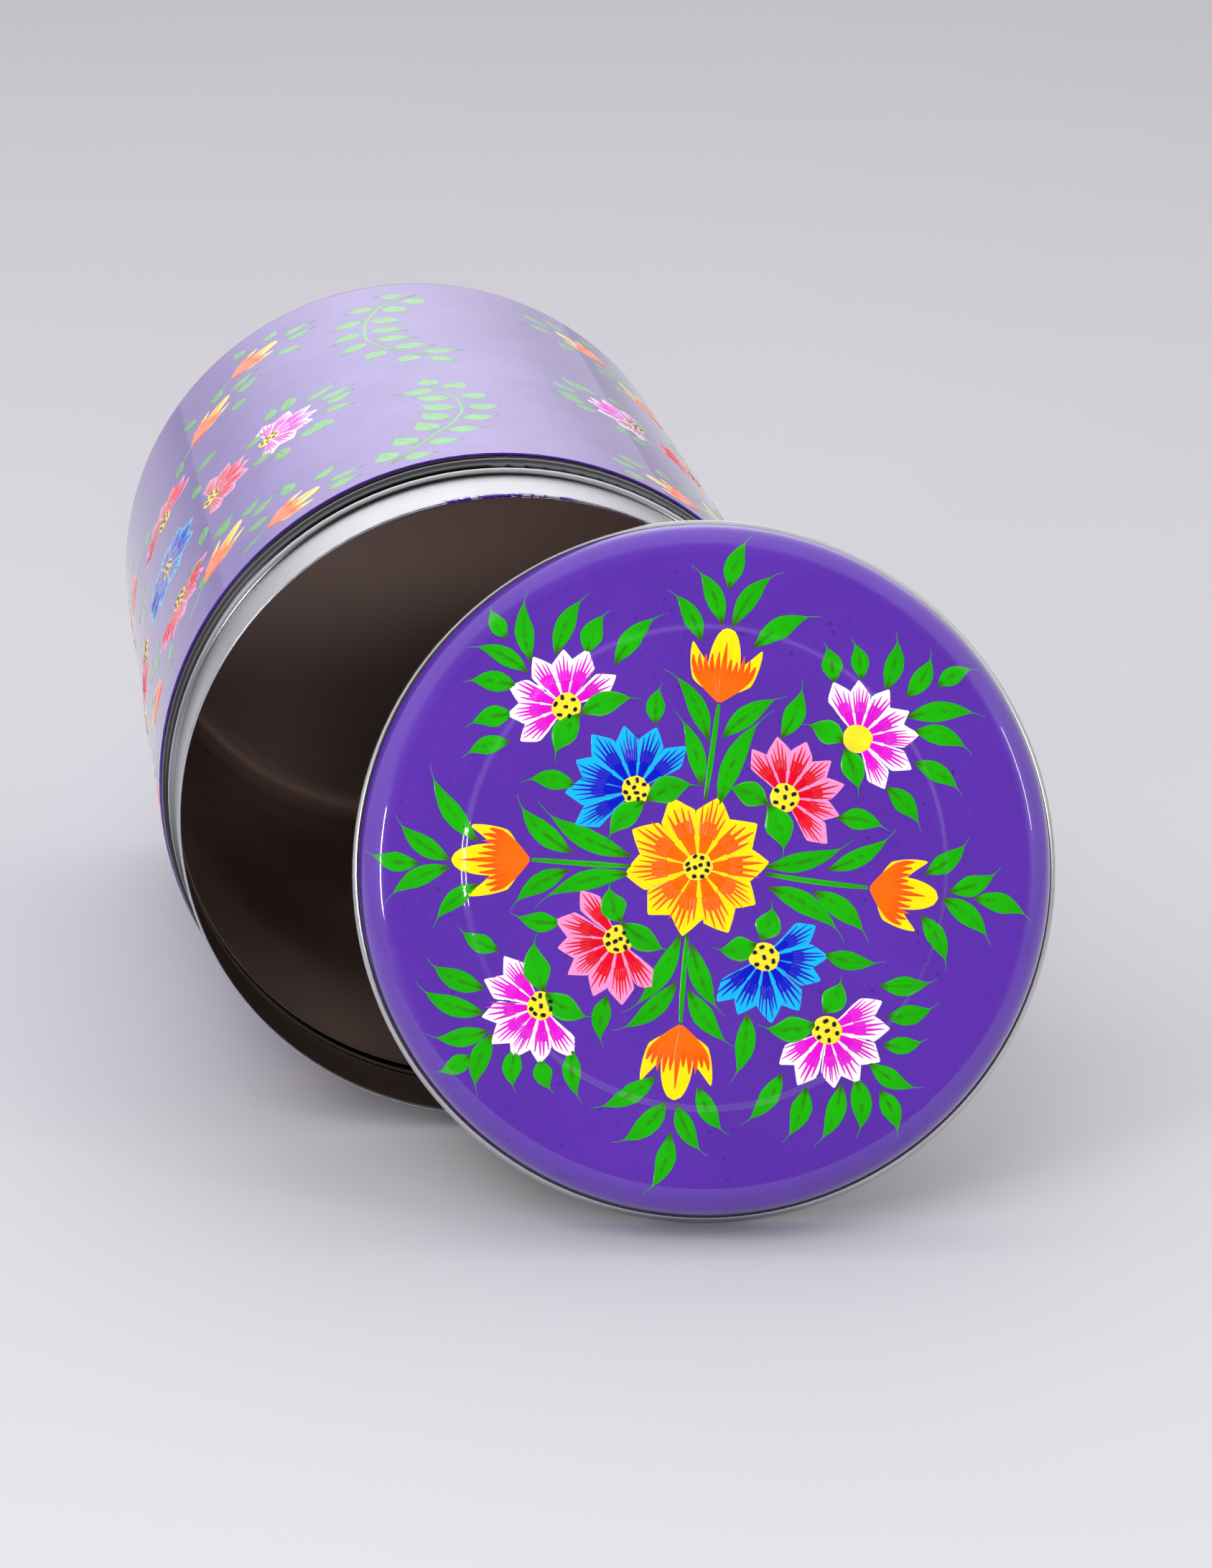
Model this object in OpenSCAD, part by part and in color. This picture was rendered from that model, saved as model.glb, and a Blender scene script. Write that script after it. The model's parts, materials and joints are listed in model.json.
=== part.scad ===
// Round steel tea caddy lying on its side, with its push-on lid standing on edge and leaning on the mouth.
// +Z is up, the table is z = 0, and the caddy's axis runs along Y with the mouth towards -Y.
// The origin is on the table, under the middle of the box that holds the caddy and its lid.

/* [Canister] */
// Length over all, from the outside of the base to the lip of the mouth
canister_length = 153; // [110:1:220]
// Diameter over the lacquered wall
body_diameter = 109; // [70:1:160]
// Radius of the rounded corner between wall and base
base_corner = 6; // [3:0.5:12]
// Thickness of the canister's drawn sheet
canister_sheet = 0.5; // [0.4:0.1:1.2]

/* [Neck] */
// Length of the straight neck that the lid slides over
neck_length = 12.5; // [8:0.5:25]
// How far the neck is drawn in from the wall
neck_step = 1.75; // [1.5:0.05:4]
// Radius of the large roll next to the wall
large_roll = 2; // [1.6:0.1:3]
// Radius of the small roll between the large roll and the neck
small_roll = 1.2; // [0.9:0.1:1.6]

/* [Lid] */
// Height of the lid's steel shell, from its open edge to its face
lid_height = 13.5; // [9:0.5:26]
// Radius of the lid's rounded shoulder
lid_shoulder = 4.7; // [2:0.1:6]
// Thickness of the lid's drawn sheet
lid_sheet = 0.5; // [0.4:0.1:1.2]
// Gap all round between the lid and the neck
lid_clearance = 0.2; // [0.1:0.05:0.6]
// Radius of the curl at the lid's open edge
curl = 1; // [0.7:0.1:1.6]
// Diameter of the raised panel in the middle of the lid's face
panel_diameter = 72.5; // [30:0.5:90]
// How far the panel stands above the face
panel_rise = 0.4; // [0.2:0.1:1]
// Width of the slope round the panel
panel_slope = 1.6; // [1:0.1:4]

/* [Lacquer] */
// Thickness of the lacquer and its painted ground
lacquer = 0.3; // [0.15:0.05:0.6]

/* [Standing lid] */
// How far the lid leans back from upright, in degrees
lean = 22; // [10:0.5:35]
// How far the lid's face is turned about the vertical, in degrees
turn = 8.5; // [-15:0.5:15]
// Distance of the lid's middle to the right of the canister's axis
lid_aside = 28.2; // [5:0.1:45]
// Gap left between the leaning lid and the lip
rim_gap = 0.3; // [0.2:0.05:1]

/* [Hidden] */

STEEL = "gainsboro";
PURPLE = "rebeccapurple";
$fn = 96;

// Canister, upright: its base is at z = 0 and its mouth is at the top
body_r = body_diameter / 2;
wall_r = body_r - lacquer;
neck_r = wall_r - neck_step;
mouth_r = neck_r - canister_sheet;
lip_edge = canister_sheet / 2;
lip_r = mouth_r + lip_edge;
small_roll_r = neck_r + neck_step / 2 - small_roll;
small_roll_z = canister_length - neck_length - 0.8 * small_roll;
large_roll_r = wall_r - large_roll;
large_roll_z = small_roll_z - 0.9 * (small_roll + large_roll);
wall_corner = 0.6;
wall_top = large_roll_z - 0.85 * large_roll;
paint_line = wall_top - wall_corner;

// Lid, upright: its open edge is at z = 0 and its face is at the top
lid_bore_r = neck_r + lid_clearance;
lid_r = lid_bore_r + lid_sheet;
curl_r = lid_r + 0.9 * curl;
lid_paint_line = 2 * curl + 0.15;
panel_r = panel_diameter / 2;
slope_steps = 12;
overlap = 0.1;

// The standing lid, in a frame where the mouth's plane is y = 0 and the canister's axis is x = 0
lid_normal = [-sin(turn) * cos(lean), -cos(turn) * cos(lean), sin(lean)];
lid_z = curl_r * cos(lean) + curl;
coarse = 2;
fine = 0.25;
stride = 0.5;
halvings = 14;

function lip_point(a) = [lip_r * cos(a), lip_edge, body_r + lip_r * sin(a)];

// Gap between a point on the lip and the curl of a lid whose curl is centred on c
function curl_gap(p, c) =
    let (along = (p - c) * lid_normal, across = sqrt((p - c) * (p - c) - along * along))
    sqrt(along * along + pow(across - curl_r, 2)) - curl - lip_edge;

function least_gap(y, step) =
    min([for (a = [0 : step : 180]) curl_gap(lip_point(a), [lid_aside, y, lid_z])]);

// Closes in on the place where the curl is rim_gap from the lip, between a clear place and one too near
function stand_at(clear, near, turns) =
    let (middle = (clear + near) / 2)
    turns == 0 ? clear
    : least_gap(middle, fine) > rim_gap ? stand_at(middle, near, turns - 1)
    : stand_at(clear, middle, turns - 1);

// First place, coming from the front, where the lid is too near to the lip
too_near = [for (y = [-2 * curl_r : stride : 0]) if (least_gap(y, coarse) < rim_gap) y][0];
lid_y = stand_at(too_near - 2 * stride, too_near + stride, halvings);

// How far a round edge of the lid reaches in one direction
function lid_reach(along, radius, tube, way) =
    ([lid_aside, lid_y, lid_z] + along * lid_normal) * way
    + radius * sqrt(1 - pow(lid_normal * way, 2)) + tube;
function lid_side(way) = max(
    lid_reach(0, curl_r, curl, way),
    lid_reach(lid_height - lid_shoulder - curl, lid_r - lid_shoulder, lid_shoulder + lacquer, way));

// Places in the part's own frame
axis_x = (max(body_r, -lid_side([-1, 0, 0])) - max(body_r, lid_side([1, 0, 0]))) / 2;
mouth_y = (lid_side([0, -1, 0]) - canister_length) / 2;
base_y = mouth_y + canister_length;

// Half outline of a round slab with rounded outer corners
module slab(radius, low, high, low_corner, high_corner) {
    translate([0, low + low_corner]) square([radius, high - low - low_corner - high_corner]);
    if (low_corner > 0) {
        translate([0, low]) square([radius - low_corner, low_corner]);
        translate([radius - low_corner, low + low_corner]) circle(low_corner);
    }
    if (high_corner > 0) {
        translate([0, high - high_corner]) square([radius - high_corner, high_corner]);
        translate([radius - high_corner, high - high_corner]) circle(high_corner);
    }
}

// Half outline of the raised panel, whose edge is a smooth slope
module panel(face) {
    slope = [for (i = [0 : slope_steps])
        [panel_r + panel_slope * (1 - i / slope_steps),
         face + panel_rise * (1 - cos(180 * i / slope_steps)) / 2]];
    polygon(concat([[0, face - overlap], [panel_r + panel_slope, face - overlap]],
        slope, [[0, face + panel_rise]]));
}

// Half outline of the two rolls under the neck, inset by the sheet for their inner side
module rolls(inset) {
    translate([large_roll_r, large_roll_z]) circle(large_roll - inset);
    translate([small_roll_r, small_roll_z]) circle(small_roll - inset);
}

module lay_canister() {
    translate([axis_x, base_y, body_r]) rotate([90, 0, 0]) rotate_extrude() children();
}

module stand_lid() {
    translate([axis_x + lid_aside, mouth_y + lid_y, lid_z])
    rotate([90 - lean, 0, -turn])
    translate([0, 0, -curl])
    rotate_extrude() children();
}

// Drawn steel cup with two rolls under its straight neck
module canister_shell() {
    color(STEEL) lay_canister() difference() {
        union() {
            slab(wall_r, lacquer, wall_top, base_corner - lacquer, wall_corner);
            rolls(0);
            translate([0, wall_top - wall_corner])
                square([neck_r, canister_length - lip_edge - wall_top + wall_corner]);
            translate([lip_r, canister_length - lip_edge]) circle(lip_edge);
        }
        slab(wall_r - canister_sheet, lacquer + canister_sheet, paint_line,
            base_corner - lacquer - canister_sheet, wall_corner);
        rolls(canister_sheet);
        translate([0, paint_line - wall_corner]) square([mouth_r, canister_length]);
    }
}

// Painted ground and clear lacquer over the canister's wall and base
module canister_lacquer() {
    color(PURPLE) lay_canister() difference() {
        slab(body_r, 0, paint_line, base_corner, 0);
        slab(wall_r, lacquer, canister_length, base_corner - lacquer, 0);
    }
}

// Drawn steel lid with a raised panel and a curl at its open edge
module lid_shell() {
    color(STEEL) stand_lid() difference() {
        union() {
            slab(lid_r, 0, lid_height, 0, lid_shoulder);
            panel(lid_height);
            translate([curl_r, curl]) circle(curl);
        }
        slab(lid_bore_r, -curl, lid_height - lid_sheet, 0, lid_shoulder - lid_sheet);
        panel(lid_height - lid_sheet);
    }
}

// Painted ground and clear lacquer over the lid's skirt and face
module lid_lacquer() {
    color(PURPLE) stand_lid() difference() {
        union() {
            slab(lid_r + lacquer, lid_paint_line, lid_height + lacquer, 0, lid_shoulder + lacquer);
            panel(lid_height + lacquer);
        }
        slab(lid_r, 0, lid_height, 0, lid_shoulder);
        panel(lid_height);
    }
}

canister_shell();
canister_lacquer();
lid_shell();
lid_lacquer();
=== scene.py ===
"""Finishes and hand-painted flowers for a lacquered steel tea caddy that lies behind its own lid.

The caddy and its lid come from the frame. This file adds the steel, the purple lacquer, every brush
stroke of the flowers, tulips, leaves and ferns, and a plain pale stage. Lengths are in metres.
"""

import json
import math
import random

import bpy
import numpy as np
from bpy.props import FloatProperty, FloatVectorProperty, IntProperty, PointerProperty
from mathutils import Matrix, Vector
from mathutils.bvhtree import BVHTree


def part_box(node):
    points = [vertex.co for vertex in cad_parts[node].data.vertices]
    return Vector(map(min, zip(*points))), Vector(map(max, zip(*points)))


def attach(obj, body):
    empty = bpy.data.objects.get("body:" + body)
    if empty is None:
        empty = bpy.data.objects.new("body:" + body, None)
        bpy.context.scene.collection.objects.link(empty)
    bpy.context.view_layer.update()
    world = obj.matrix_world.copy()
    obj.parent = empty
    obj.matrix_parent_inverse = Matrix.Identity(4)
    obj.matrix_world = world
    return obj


bl_info = {
    "name": "Painted Tea Caddy",
    "version": (1, 0, 0),
    "blender": (4, 5, 0),
    "location": "View3D > Sidebar > Tea Caddy",
    "description": "Finishes and hand-painted flowers for a lacquered steel tea caddy",
    "category": "Object",
}

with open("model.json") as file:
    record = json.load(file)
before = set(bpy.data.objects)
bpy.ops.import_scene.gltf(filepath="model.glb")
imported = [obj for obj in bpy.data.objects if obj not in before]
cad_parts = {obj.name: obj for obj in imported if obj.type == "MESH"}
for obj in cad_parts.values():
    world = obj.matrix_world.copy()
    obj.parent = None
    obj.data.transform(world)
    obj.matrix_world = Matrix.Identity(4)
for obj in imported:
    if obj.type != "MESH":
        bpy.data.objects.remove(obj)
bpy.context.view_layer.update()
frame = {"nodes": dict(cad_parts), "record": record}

MM = 0.001
UP = Vector((0, 0, 1))


# ---------------------------------------------------------------------------------------------------
# Places taken from the frame
# ---------------------------------------------------------------------------------------------------

def mount(name):
    """Place and outward direction of one of the caddy's mounts."""
    found = next(m for m in frame["record"]["mounts"] if m["name"] == name)
    return Vector(found["pos_m"]), Vector(found["axis"]).normalized()


def reach(node, centre, axis):
    """Greatest distance of a node's surface from an axis."""
    return max((v.co - centre).cross(axis).length for v in frame["nodes"][node].data.vertices)


BASE, CADDY_AXIS = mount("base")
LID_FACE, LID_NORMAL = mount("lid_face")
LID_RIGHT = UP.cross(LID_NORMAL).normalized()
LID_UP = LID_NORMAL.cross(LID_RIGHT)
LID_RADIUS = reach("lid_lacquer", LID_FACE, LID_NORMAL)
BODY_RADIUS = reach("canister_lacquer", BASE, CADDY_AXIS)
LIP_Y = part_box("canister_shell")[0].y
PAINT_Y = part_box("canister_lacquer")[0].y
MOUTH = Vector((BASE.x, LIP_Y, BASE.z))

# Depth of about the middle of a shell's sheet: under the outside of the wall for the wall itself and for
# the drawn-in neck, and under the lacquer for the lid's skirt
WALL_SHEET_IN = 0.25 * MM
NECK_SHEET_IN = 1.95 * MM
LID_SHEET_IN = 0.55 * MM

# Painted shade in the grooves, between the two rolls and between the small roll and the neck:
# millimetres from the edge of the paint to the middle of the groove, and how dark the painted shade is
GROOVE_SHADES = ((4.3, 0.8), (6.2, 0.5))


# ---------------------------------------------------------------------------------------------------
# Where the painter put things
# ---------------------------------------------------------------------------------------------------

# Flowers on the lid, in hundredths of its radius: middle, bearing that the fan of petals faces, number
# of petals, angle between them, length of a petal, petal colour, streak colour, dots on the disc
LID_FLOWERS = (
    (-2, 0, 94, 10, 36, 21, "yellow", "orange", 10),
    (-20, 22, 127, 7, 28, 20, "sky", "blue", 9),
    (23, 20, 39, 7, 29, 17.5, "pink", "red", 7),
    (-25, -21, 217, 7, 29, 18.5, "pink", "red", 9),
    (17, -26, -54, 7, 29, 18.5, "sky", "blue", 7),
    (-40, 46, 127, 7, 31, 17.5, "white", "magenta", 7),
    (44, 37, 29, 7, 29, 17.5, "white", "magenta", 0),
    (-47, -40, 215, 7, 29, 17.5, "white", "magenta", 8),
    (35, -47, -56, 7, 29.5, 17.5, "white", "magenta", 7),
)

# Tulips on the lid: start of the stem, base of the flower, tip of its middle lobe
LID_TULIPS = (
    (0, 19, 4, 47, 7, 69),
    (17, -2, 47, -6, 67, -9),
    (-5, -19, -7, -45, -9, -67),
    (-20, 0, -50, 2, -73, 2),
)

# Slender leaves on the lid: bearing of the flower that they spring from, then root and tip of each leaf
LID_LEAVES = (
    (127, ((-56, 36, -70, 31), (-55, 44, -69, 40), (-54, 52, -70, 53), (-51, 56, -69, 63),
           (-50, 59, -51, 80), (-57, 66, -62, 76), (-43, 61, -33, 79), (-34, 61, -27, 74),
           (-26, 58, -11, 73), (-37, 23, -53, 24), (-14, 41, -12, 53))),
    (32, ((37, 53, 34, 65), (45, 54, 42, 66), (52, 51, 55, 68), (58, 49, 65, 63), (67, 52, 79, 57),
          (58, 43, 81, 43), (60, 39, 77, 32), (60, 30, 74, 20), (52, 23, 62, 10), (22, 37, 28, 54),
          (38, 14, 53, 10))),
    (216, ((-59, -24, -71, -17), (-63, -35, -80, -26), (-63, -42, -83, -33), (-62, -47, -80, -48),
           (-67, -54, -78, -59), (-61, -48, -65, -66), (-54, -52, -54, -65), (-47, -55, -43, -65),
           (-38, -52, -35, -68), (-41, -16, -56, -13), (-28, -37, -29, -52))),
    (-54, ((50, -34, 67, -32), (52, -43, 67, -39), (51, -51, 64, -49), (47, -56, 63, -63),
           (50, -64, 55, -78), (43, -60, 43, -78), (39, -62, 31, -80), (29, -63, 22, -79),
           (22, -59, 10, -74), (34, -25, 52, -27), (12, -42, 7, -62))),
    (84, ((-1, 65, -11, 80), (5, 70, -4, 87), (7, 80, 14, 96), (8, 69, 23, 85), (14, 63, 34, 72),
          (1, 36, -12, 57), (-1, 23, -9, 45), (5, 37, 24, 49), (4, 17, 20, 45))),
    (-8, ((63, -2, 76, 9), (70, -7, 85, 0), (77, -9, 94, -16), (68, -9, 82, -23), (62, -14, 69, -30),
          (35, -1, 55, 11), (17, 0, 43, 8), (18, -6, 40, -22), (31, -7, 47, -22))),
    (263, ((-14, -60, -33, -69), (-11, -67, -27, -79), (-10, -76, -18, -94), (-8, -68, 1, -83),
           (-2, -63, 7, -77), (-7, -19, -24, -42), (-8, -33, -27, -47), (-4, -22, 6, -43),
           (-5, -35, 9, -52))),
    (180, ((-65, 7, -79, 30), (-73, 2, -89, 15), (-82, 1, -98, 5), (-73, 0, -92, -11),
           (-65, -5, -78, -18), (-38, 4, -54, 21), (-21, 3, -48, 19), (-39, -1, -56, -13),
           (-21, -2, -49, -12))),
)

# Full leaves at the open side of the lid's flowers, laid the same way
LID_FULL_LEAVES = (
    (127, ((-36, 44, -18, 48), (-36, 44, -43, 30), (-17, 19, -1, 23), (-17, 19, -28, 6))),
    (32, ((40, 36, 28, 41), (40, 34, 44, 20), (18, 18, 5, 22), (18, 18, 22, 2))),
    (216, ((-46, -36, -48, -19), (-46, -36, -31, -43), (-24, -16, -27, -4), (-24, -16, -9, -24))),
    (-54, ((34, -42, 39, -31), (32, -45, 15, -45), (16, -21, 19, -10), (15, -22, 2, -23))),
)

# Panels round the canister, as degrees from the top, and how far their middle is from the lip
PANELS = (-66, 66, 180)
PANEL_FROM_LIP = 72 * MM

# Flowers of a panel, in millimetres across and along the canister from the panel's middle
PANEL_FLOWERS = (
    (0, 0, 90, 9, 40, 10.5, "sky", "blue", 8),
    (15, -1, 0, 7, 29, 10, "pink", "red", 8),
    (-15, -1, 180, 7, 29, 10, "pink", "red", 8),
    (2, 25, 90, 7, 29, 10, "pink", "red", 8),
    (2, -25, -90, 7, 29, 10, "pink", "red", 8),
    (29, 1, 0, 7, 31, 10, "white", "magenta", 8),
    (-29, 1, 180, 7, 31, 10, "white", "magenta", 8),
)

# Tulips on one side of a panel, as base and tip. The other side mirrors them
PANEL_TULIPS = ((9, -38, 20, -29), (24, -46, 35, -44), (13, 40, 24, 47), (25, 55, 36, 60))
PANEL_TULIP_WIDTH = 9 * MM

# Ferns between the panels: degrees from the top, then the points that the stem goes through, in
# millimetres across, and from the lip
FERNS = (-2, 123, -123)
NEAR_STEM = ((-14, 22), (-8, 30), (-2, 39), (1, 48), (1, 57), (-2, 66))
FAR_STEM = ((3, 138), (-5, 131), (-9, 120), (-10, 108), (-7, 97), (0, 88))

# Stems, and the leaflets of a fern: their length on its left and on its right, and the one at its end
STEM_WIDTH = 0.9 * MM
LEFT_LEAFLET = 9.0 * MM
RIGHT_LEAFLET = 7.4 * MM
LEAFLET_WIDTH = 3.9 * MM
END_LEAFLET = 7 * MM
END_LEAFLET_WIDTH = 3.2 * MM

# Layers of paint, counted up from the ground: a higher one hides a lower one
STEM_LAYER = 0.9
FIRST_LAYER = 1.0
CUP_LAYER = 1.9
STREAK_LAYER = 2.0
DISC_LAYER = 3.4
TOP_LEAF_LAYER = 4.6
DOT_LAYER = 5.6

# Each operator that paints draws its own row of random numbers
LID_FLOWERS_SEED = 11
LID_LEAVES_SEED = 12
CANISTER_FLOWERS_SEED = 13
CANISTER_LEAVES_SEED = 14


# ---------------------------------------------------------------------------------------------------
# The stage
# ---------------------------------------------------------------------------------------------------

# Lamps: name, place, width and height in metres, power in watts, and whether the caddy mirrors it
LAMPS = (
    ("top_softbox", (-0.1, 0.5, 1.2), (1.0, 0.8), 3.0, False),
    ("key_softbox", (-0.45, -0.75, 1.0), (0.9, 0.7), 7.6, False),
    ("front_softbox", (-0.10, -0.95, 0.36), (0.2, 0.15), 2.1, False),
    ("left_strip", (-0.71, -0.71, 0.40), (0.07, 0.22), 1.4, True),
    ("right_strip", (0.72, -0.62, 0.5), (0.04, 0.26), 0.7, True),
)
LAMPS_AIM = Vector((0, 0, 0.05))

# Direction of the dark end of the studio
DARK_END = Vector((-0.14, -0.92, 0.36)).normalized()


# ---------------------------------------------------------------------------------------------------
# Settings that a user would change
# ---------------------------------------------------------------------------------------------------

def linear(red, green, blue):
    """A screen colour, from 0 to 255, as a linear one."""
    return tuple((c / 255) ** 2.2 for c in (red, green, blue))


def colour(name, text, *screen):
    """A colour setting whose default is given as a screen colour."""
    return FloatVectorProperty(
        name=name, description=text, default=linear(*screen), subtype="COLOR", min=0, max=1)


class CaddyColours(bpy.types.PropertyGroup):
    lacquer: colour("Lacquer", "Purple ground under the clear lacquer", 90, 50, 164)
    lacquer_shade: colour("Lacquer shade", "Purple where the ground lies thin", 81, 44, 150)
    steel: colour("Steel", "Drawn and brushed steel", 200, 202, 205)
    inside: colour("Inside steel", "Unpolished steel inside the canister and the lid", 250, 222, 210)
    leaf: colour("Leaf", "Green of leaves, stems and ferns", 30, 172, 2)
    leaf_root: colour("Leaf root", "Dark green at a leaf's root and along its rib", 50, 92, 4)
    white: colour("White petals", "Petals of the white flowers", 240, 236, 236)
    sky: colour("Sky petals", "Petals of the blue flowers", 20, 176, 232)
    pink: colour("Pink petals", "Petals of the red flowers", 236, 142, 194)
    yellow: colour("Yellow petals", "Petals of the orange flowers, and the tulips' crowns", 255, 220, 20)
    magenta: colour("Magenta streaks", "Streaks on the white petals", 222, 18, 204)
    blue: colour("Blue streaks", "Streaks on the sky petals", 2, 26, 188)
    red: colour("Red streaks", "Streaks on the pink petals", 222, 4, 40)
    orange: colour("Orange streaks", "Streaks on the yellow petals", 255, 104, 0)
    disc: colour("Disc", "Yellow middle of a flower", 255, 222, 48)
    dot: colour("Dots", "Black dots on a disc", 12, 10, 14)
    floor: colour("Floor", "Pale table", 194, 193, 198)


class CaddyPaint(bpy.types.PropertyGroup):
    film: FloatProperty(name="Film", description="Thickness of one layer of paint",
                        default=0.03 * MM, unit="LENGTH")
    grain: FloatProperty(name="Grain", description="Distance between the points of a stroke",
                         default=0.5 * MM, unit="LENGTH")
    leaf_width: FloatProperty(name="Leaf width", description="Width of a slender leaf",
                              default=2.9 * MM, unit="LENGTH")
    full_leaf_width: FloatProperty(name="Full leaf width", description="Width of a full leaf",
                                   default=3.6 * MM, unit="LENGTH")
    disc_size: FloatProperty(name="Disc", description="Diameter of a flower's yellow middle",
                             default=4.6 * MM, unit="LENGTH")
    tulip_width: FloatProperty(name="Tulip width", description="Width of a tulip",
                               default=11.2 * MM, unit="LENGTH")
    streaks: IntProperty(name="Streaks", description="Streaks on one petal", default=5, min=1)
    leaflets: IntProperty(name="Leaflets", description="Leaflets on one side of a fern",
                          default=7, min=2)


class CaddyStage(bpy.types.PropertyGroup):
    lens: FloatProperty(name="Lens", description="Focal length of the camera in millimetres",
                        default=101)
    azimuth: FloatProperty(name="Azimuth", description="Turn of the camera about the vertical",
                           default=math.radians(-8.31), subtype="ANGLE")
    elevation: FloatProperty(name="Elevation", description="Height of the camera as an angle",
                             default=math.radians(18.67), subtype="ANGLE")
    distance: FloatProperty(name="Distance", description="From the camera to the point it aims at",
                            default=0.69, unit="LENGTH")
    aim: FloatVectorProperty(name="Aim", description="Point aimed at, from the middle of the mouth",
                             default=(14.0 * MM, -14.1 * MM, 8.8 * MM), subtype="TRANSLATION")
    sky_light: FloatProperty(name="Sky light", description="Strength of the white studio round it",
                             default=1.0, min=0)
    floor_size: FloatProperty(name="Floor", description="Side of the pale table", default=9,
                              unit="LENGTH")


# ---------------------------------------------------------------------------------------------------
# Shader helpers
# ---------------------------------------------------------------------------------------------------

class Socket:
    """An output of a node. Arithmetic on it adds Math nodes."""

    def __init__(self, graph, link):
        self.graph = graph
        self.link = link

    def math(self, operation, *values):
        return self.graph.node("ShaderNodeMath", {"operation": operation}, dict(enumerate(values)))

    def __add__(self, other):
        return self.math("ADD", self, other)

    def __radd__(self, other):
        return self.math("ADD", other, self)

    def __sub__(self, other):
        return self.math("SUBTRACT", self, other)

    def __rsub__(self, other):
        return self.math("SUBTRACT", other, self)

    def __mul__(self, other):
        return self.math("MULTIPLY", self, other)

    def __rmul__(self, other):
        return self.math("MULTIPLY", other, self)

    def __truediv__(self, other):
        return self.math("DIVIDE", self, other)

    def __pow__(self, other):
        return self.math("POWER", self, other)

    def size(self):
        """The number without its sign."""
        return self.math("ABSOLUTE", self)

    def at_most(self, limit):
        return self.math("MINIMUM", self, limit)

    def at_least(self, limit):
        return self.math("MAXIMUM", self, limit)

    def step(self, low, high):
        """0 below low, 1 above high, and a smooth rise between them. It falls if low is above high."""
        settings = {"interpolation_type": "SMOOTHSTEP"}
        if low > high:
            return 1 - self.step(high, low)
        return self.graph.node("ShaderNodeMapRange", settings,
                               {"Value": self, "From Min": low, "From Max": high})


class Graph:
    """The nodes of one material or world."""

    def __init__(self, owner):
        owner.use_nodes = True
        self.tree = owner.node_tree
        self.tree.nodes.clear()

    def node(self, kind, settings=None, inputs=None, output=0):
        """Adds a node: its settings are set first, then its inputs are given values or links."""
        made = self.tree.nodes.new(kind)
        for name, value in (settings or {}).items():
            setattr(made, name, value)
        for name, value in (inputs or {}).items():
            socket = made.inputs[name]
            if isinstance(value, Socket):
                self.tree.links.new(value.link, socket)
            elif isinstance(socket.default_value, float):
                socket.default_value = value
            elif len(socket.default_value) == 4:
                socket.default_value = (*value[:3], 1)
            else:
                socket.default_value = value
        if not made.outputs:
            return made
        return Socket(self, made.outputs[output])

    def mix(self, factor, first, second):
        """Mixes two colours."""
        return self.node("ShaderNodeMix", {"data_type": "RGBA"},
                         {0: factor, 6: first, 7: second}, output=2)

    def vector(self, operation, first, second, output=0):
        return self.node("ShaderNodeVectorMath", {"operation": operation}, {0: first, 1: second},
                         output=output)

    def combine(self, x, y, z):
        return self.node("ShaderNodeCombineXYZ", None, {0: x, 1: y, 2: z})

    def split(self, vector):
        """The three numbers of a vector."""
        first = self.node("ShaderNodeSeparateXYZ", None, {0: vector})
        outputs = first.link.node.outputs
        return [Socket(self, outputs[i]) for i in range(3)]

    def place(self):
        """Place on the object, in metres."""
        return self.node("ShaderNodeTexCoord", output="Object")

    def noise(self, vector, scale, detail=2, roughness=0.5):
        return self.node("ShaderNodeTexNoise", None, {
            "Vector": vector, "Scale": scale, "Detail": detail, "Roughness": roughness})

    def bump(self, height, strength, distance):
        return self.node("ShaderNodeBump", None, {
            "Height": height, "Strength": strength, "Distance": distance})


def finish_material(name, build, **values):
    """A material whose surface is what build(graph) gives to the Principled shader."""
    material = bpy.data.materials.new(name)
    graph = Graph(material)
    surface = graph.node("ShaderNodeBsdfPrincipled", None, build(graph, **values))
    graph.node("ShaderNodeOutputMaterial", None, {"Surface": surface})
    return material


def orange_peel(graph, place, strength=0.12):
    """Bump of a sprayed clear coat: long soft waves and fine dust."""
    waves = graph.noise(place, 260, 2)
    dust = graph.noise(place, 2600, 1).step(0.66, 0.74)
    return graph.bump(waves + dust * 0.25, strength, 0.12 * MM)


def clear_coat(base, roughness, normal):
    """Inputs of a coloured ground under the caddy's clear lacquer."""
    return {
        "Base Color": base,
        "Roughness": roughness,
        "Normal": normal,
        "Coat Weight": 1.0,
        "Coat Roughness": 0.035,
        "Coat IOR": 1.5,
        "Specular IOR Level": 0.3,
    }


def lacquered_ground(graph, ground, shade):
    """Purple ground with soft clouds, small pale flecks and dark pits, under the clear coat."""
    place = graph.place()
    cloud = graph.noise(place, 55, 4, 0.6).step(0.3, 0.7)
    fleck = graph.noise(place, 1500, 2).step(0.62, 0.7)
    pit = graph.noise(place, 900, 1).step(0.74, 0.78)
    tone = graph.mix(cloud * 0.6, ground, shade)
    tone = graph.mix(fleck * 0.25, tone, [min(1, 1.5 * c) for c in ground])
    tone = graph.mix(pit * 0.5, tone, [0.25 * c for c in ground])
    return clear_coat(tone, 0.32 + 0.08 * cloud, orange_peel(graph, place))


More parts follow.
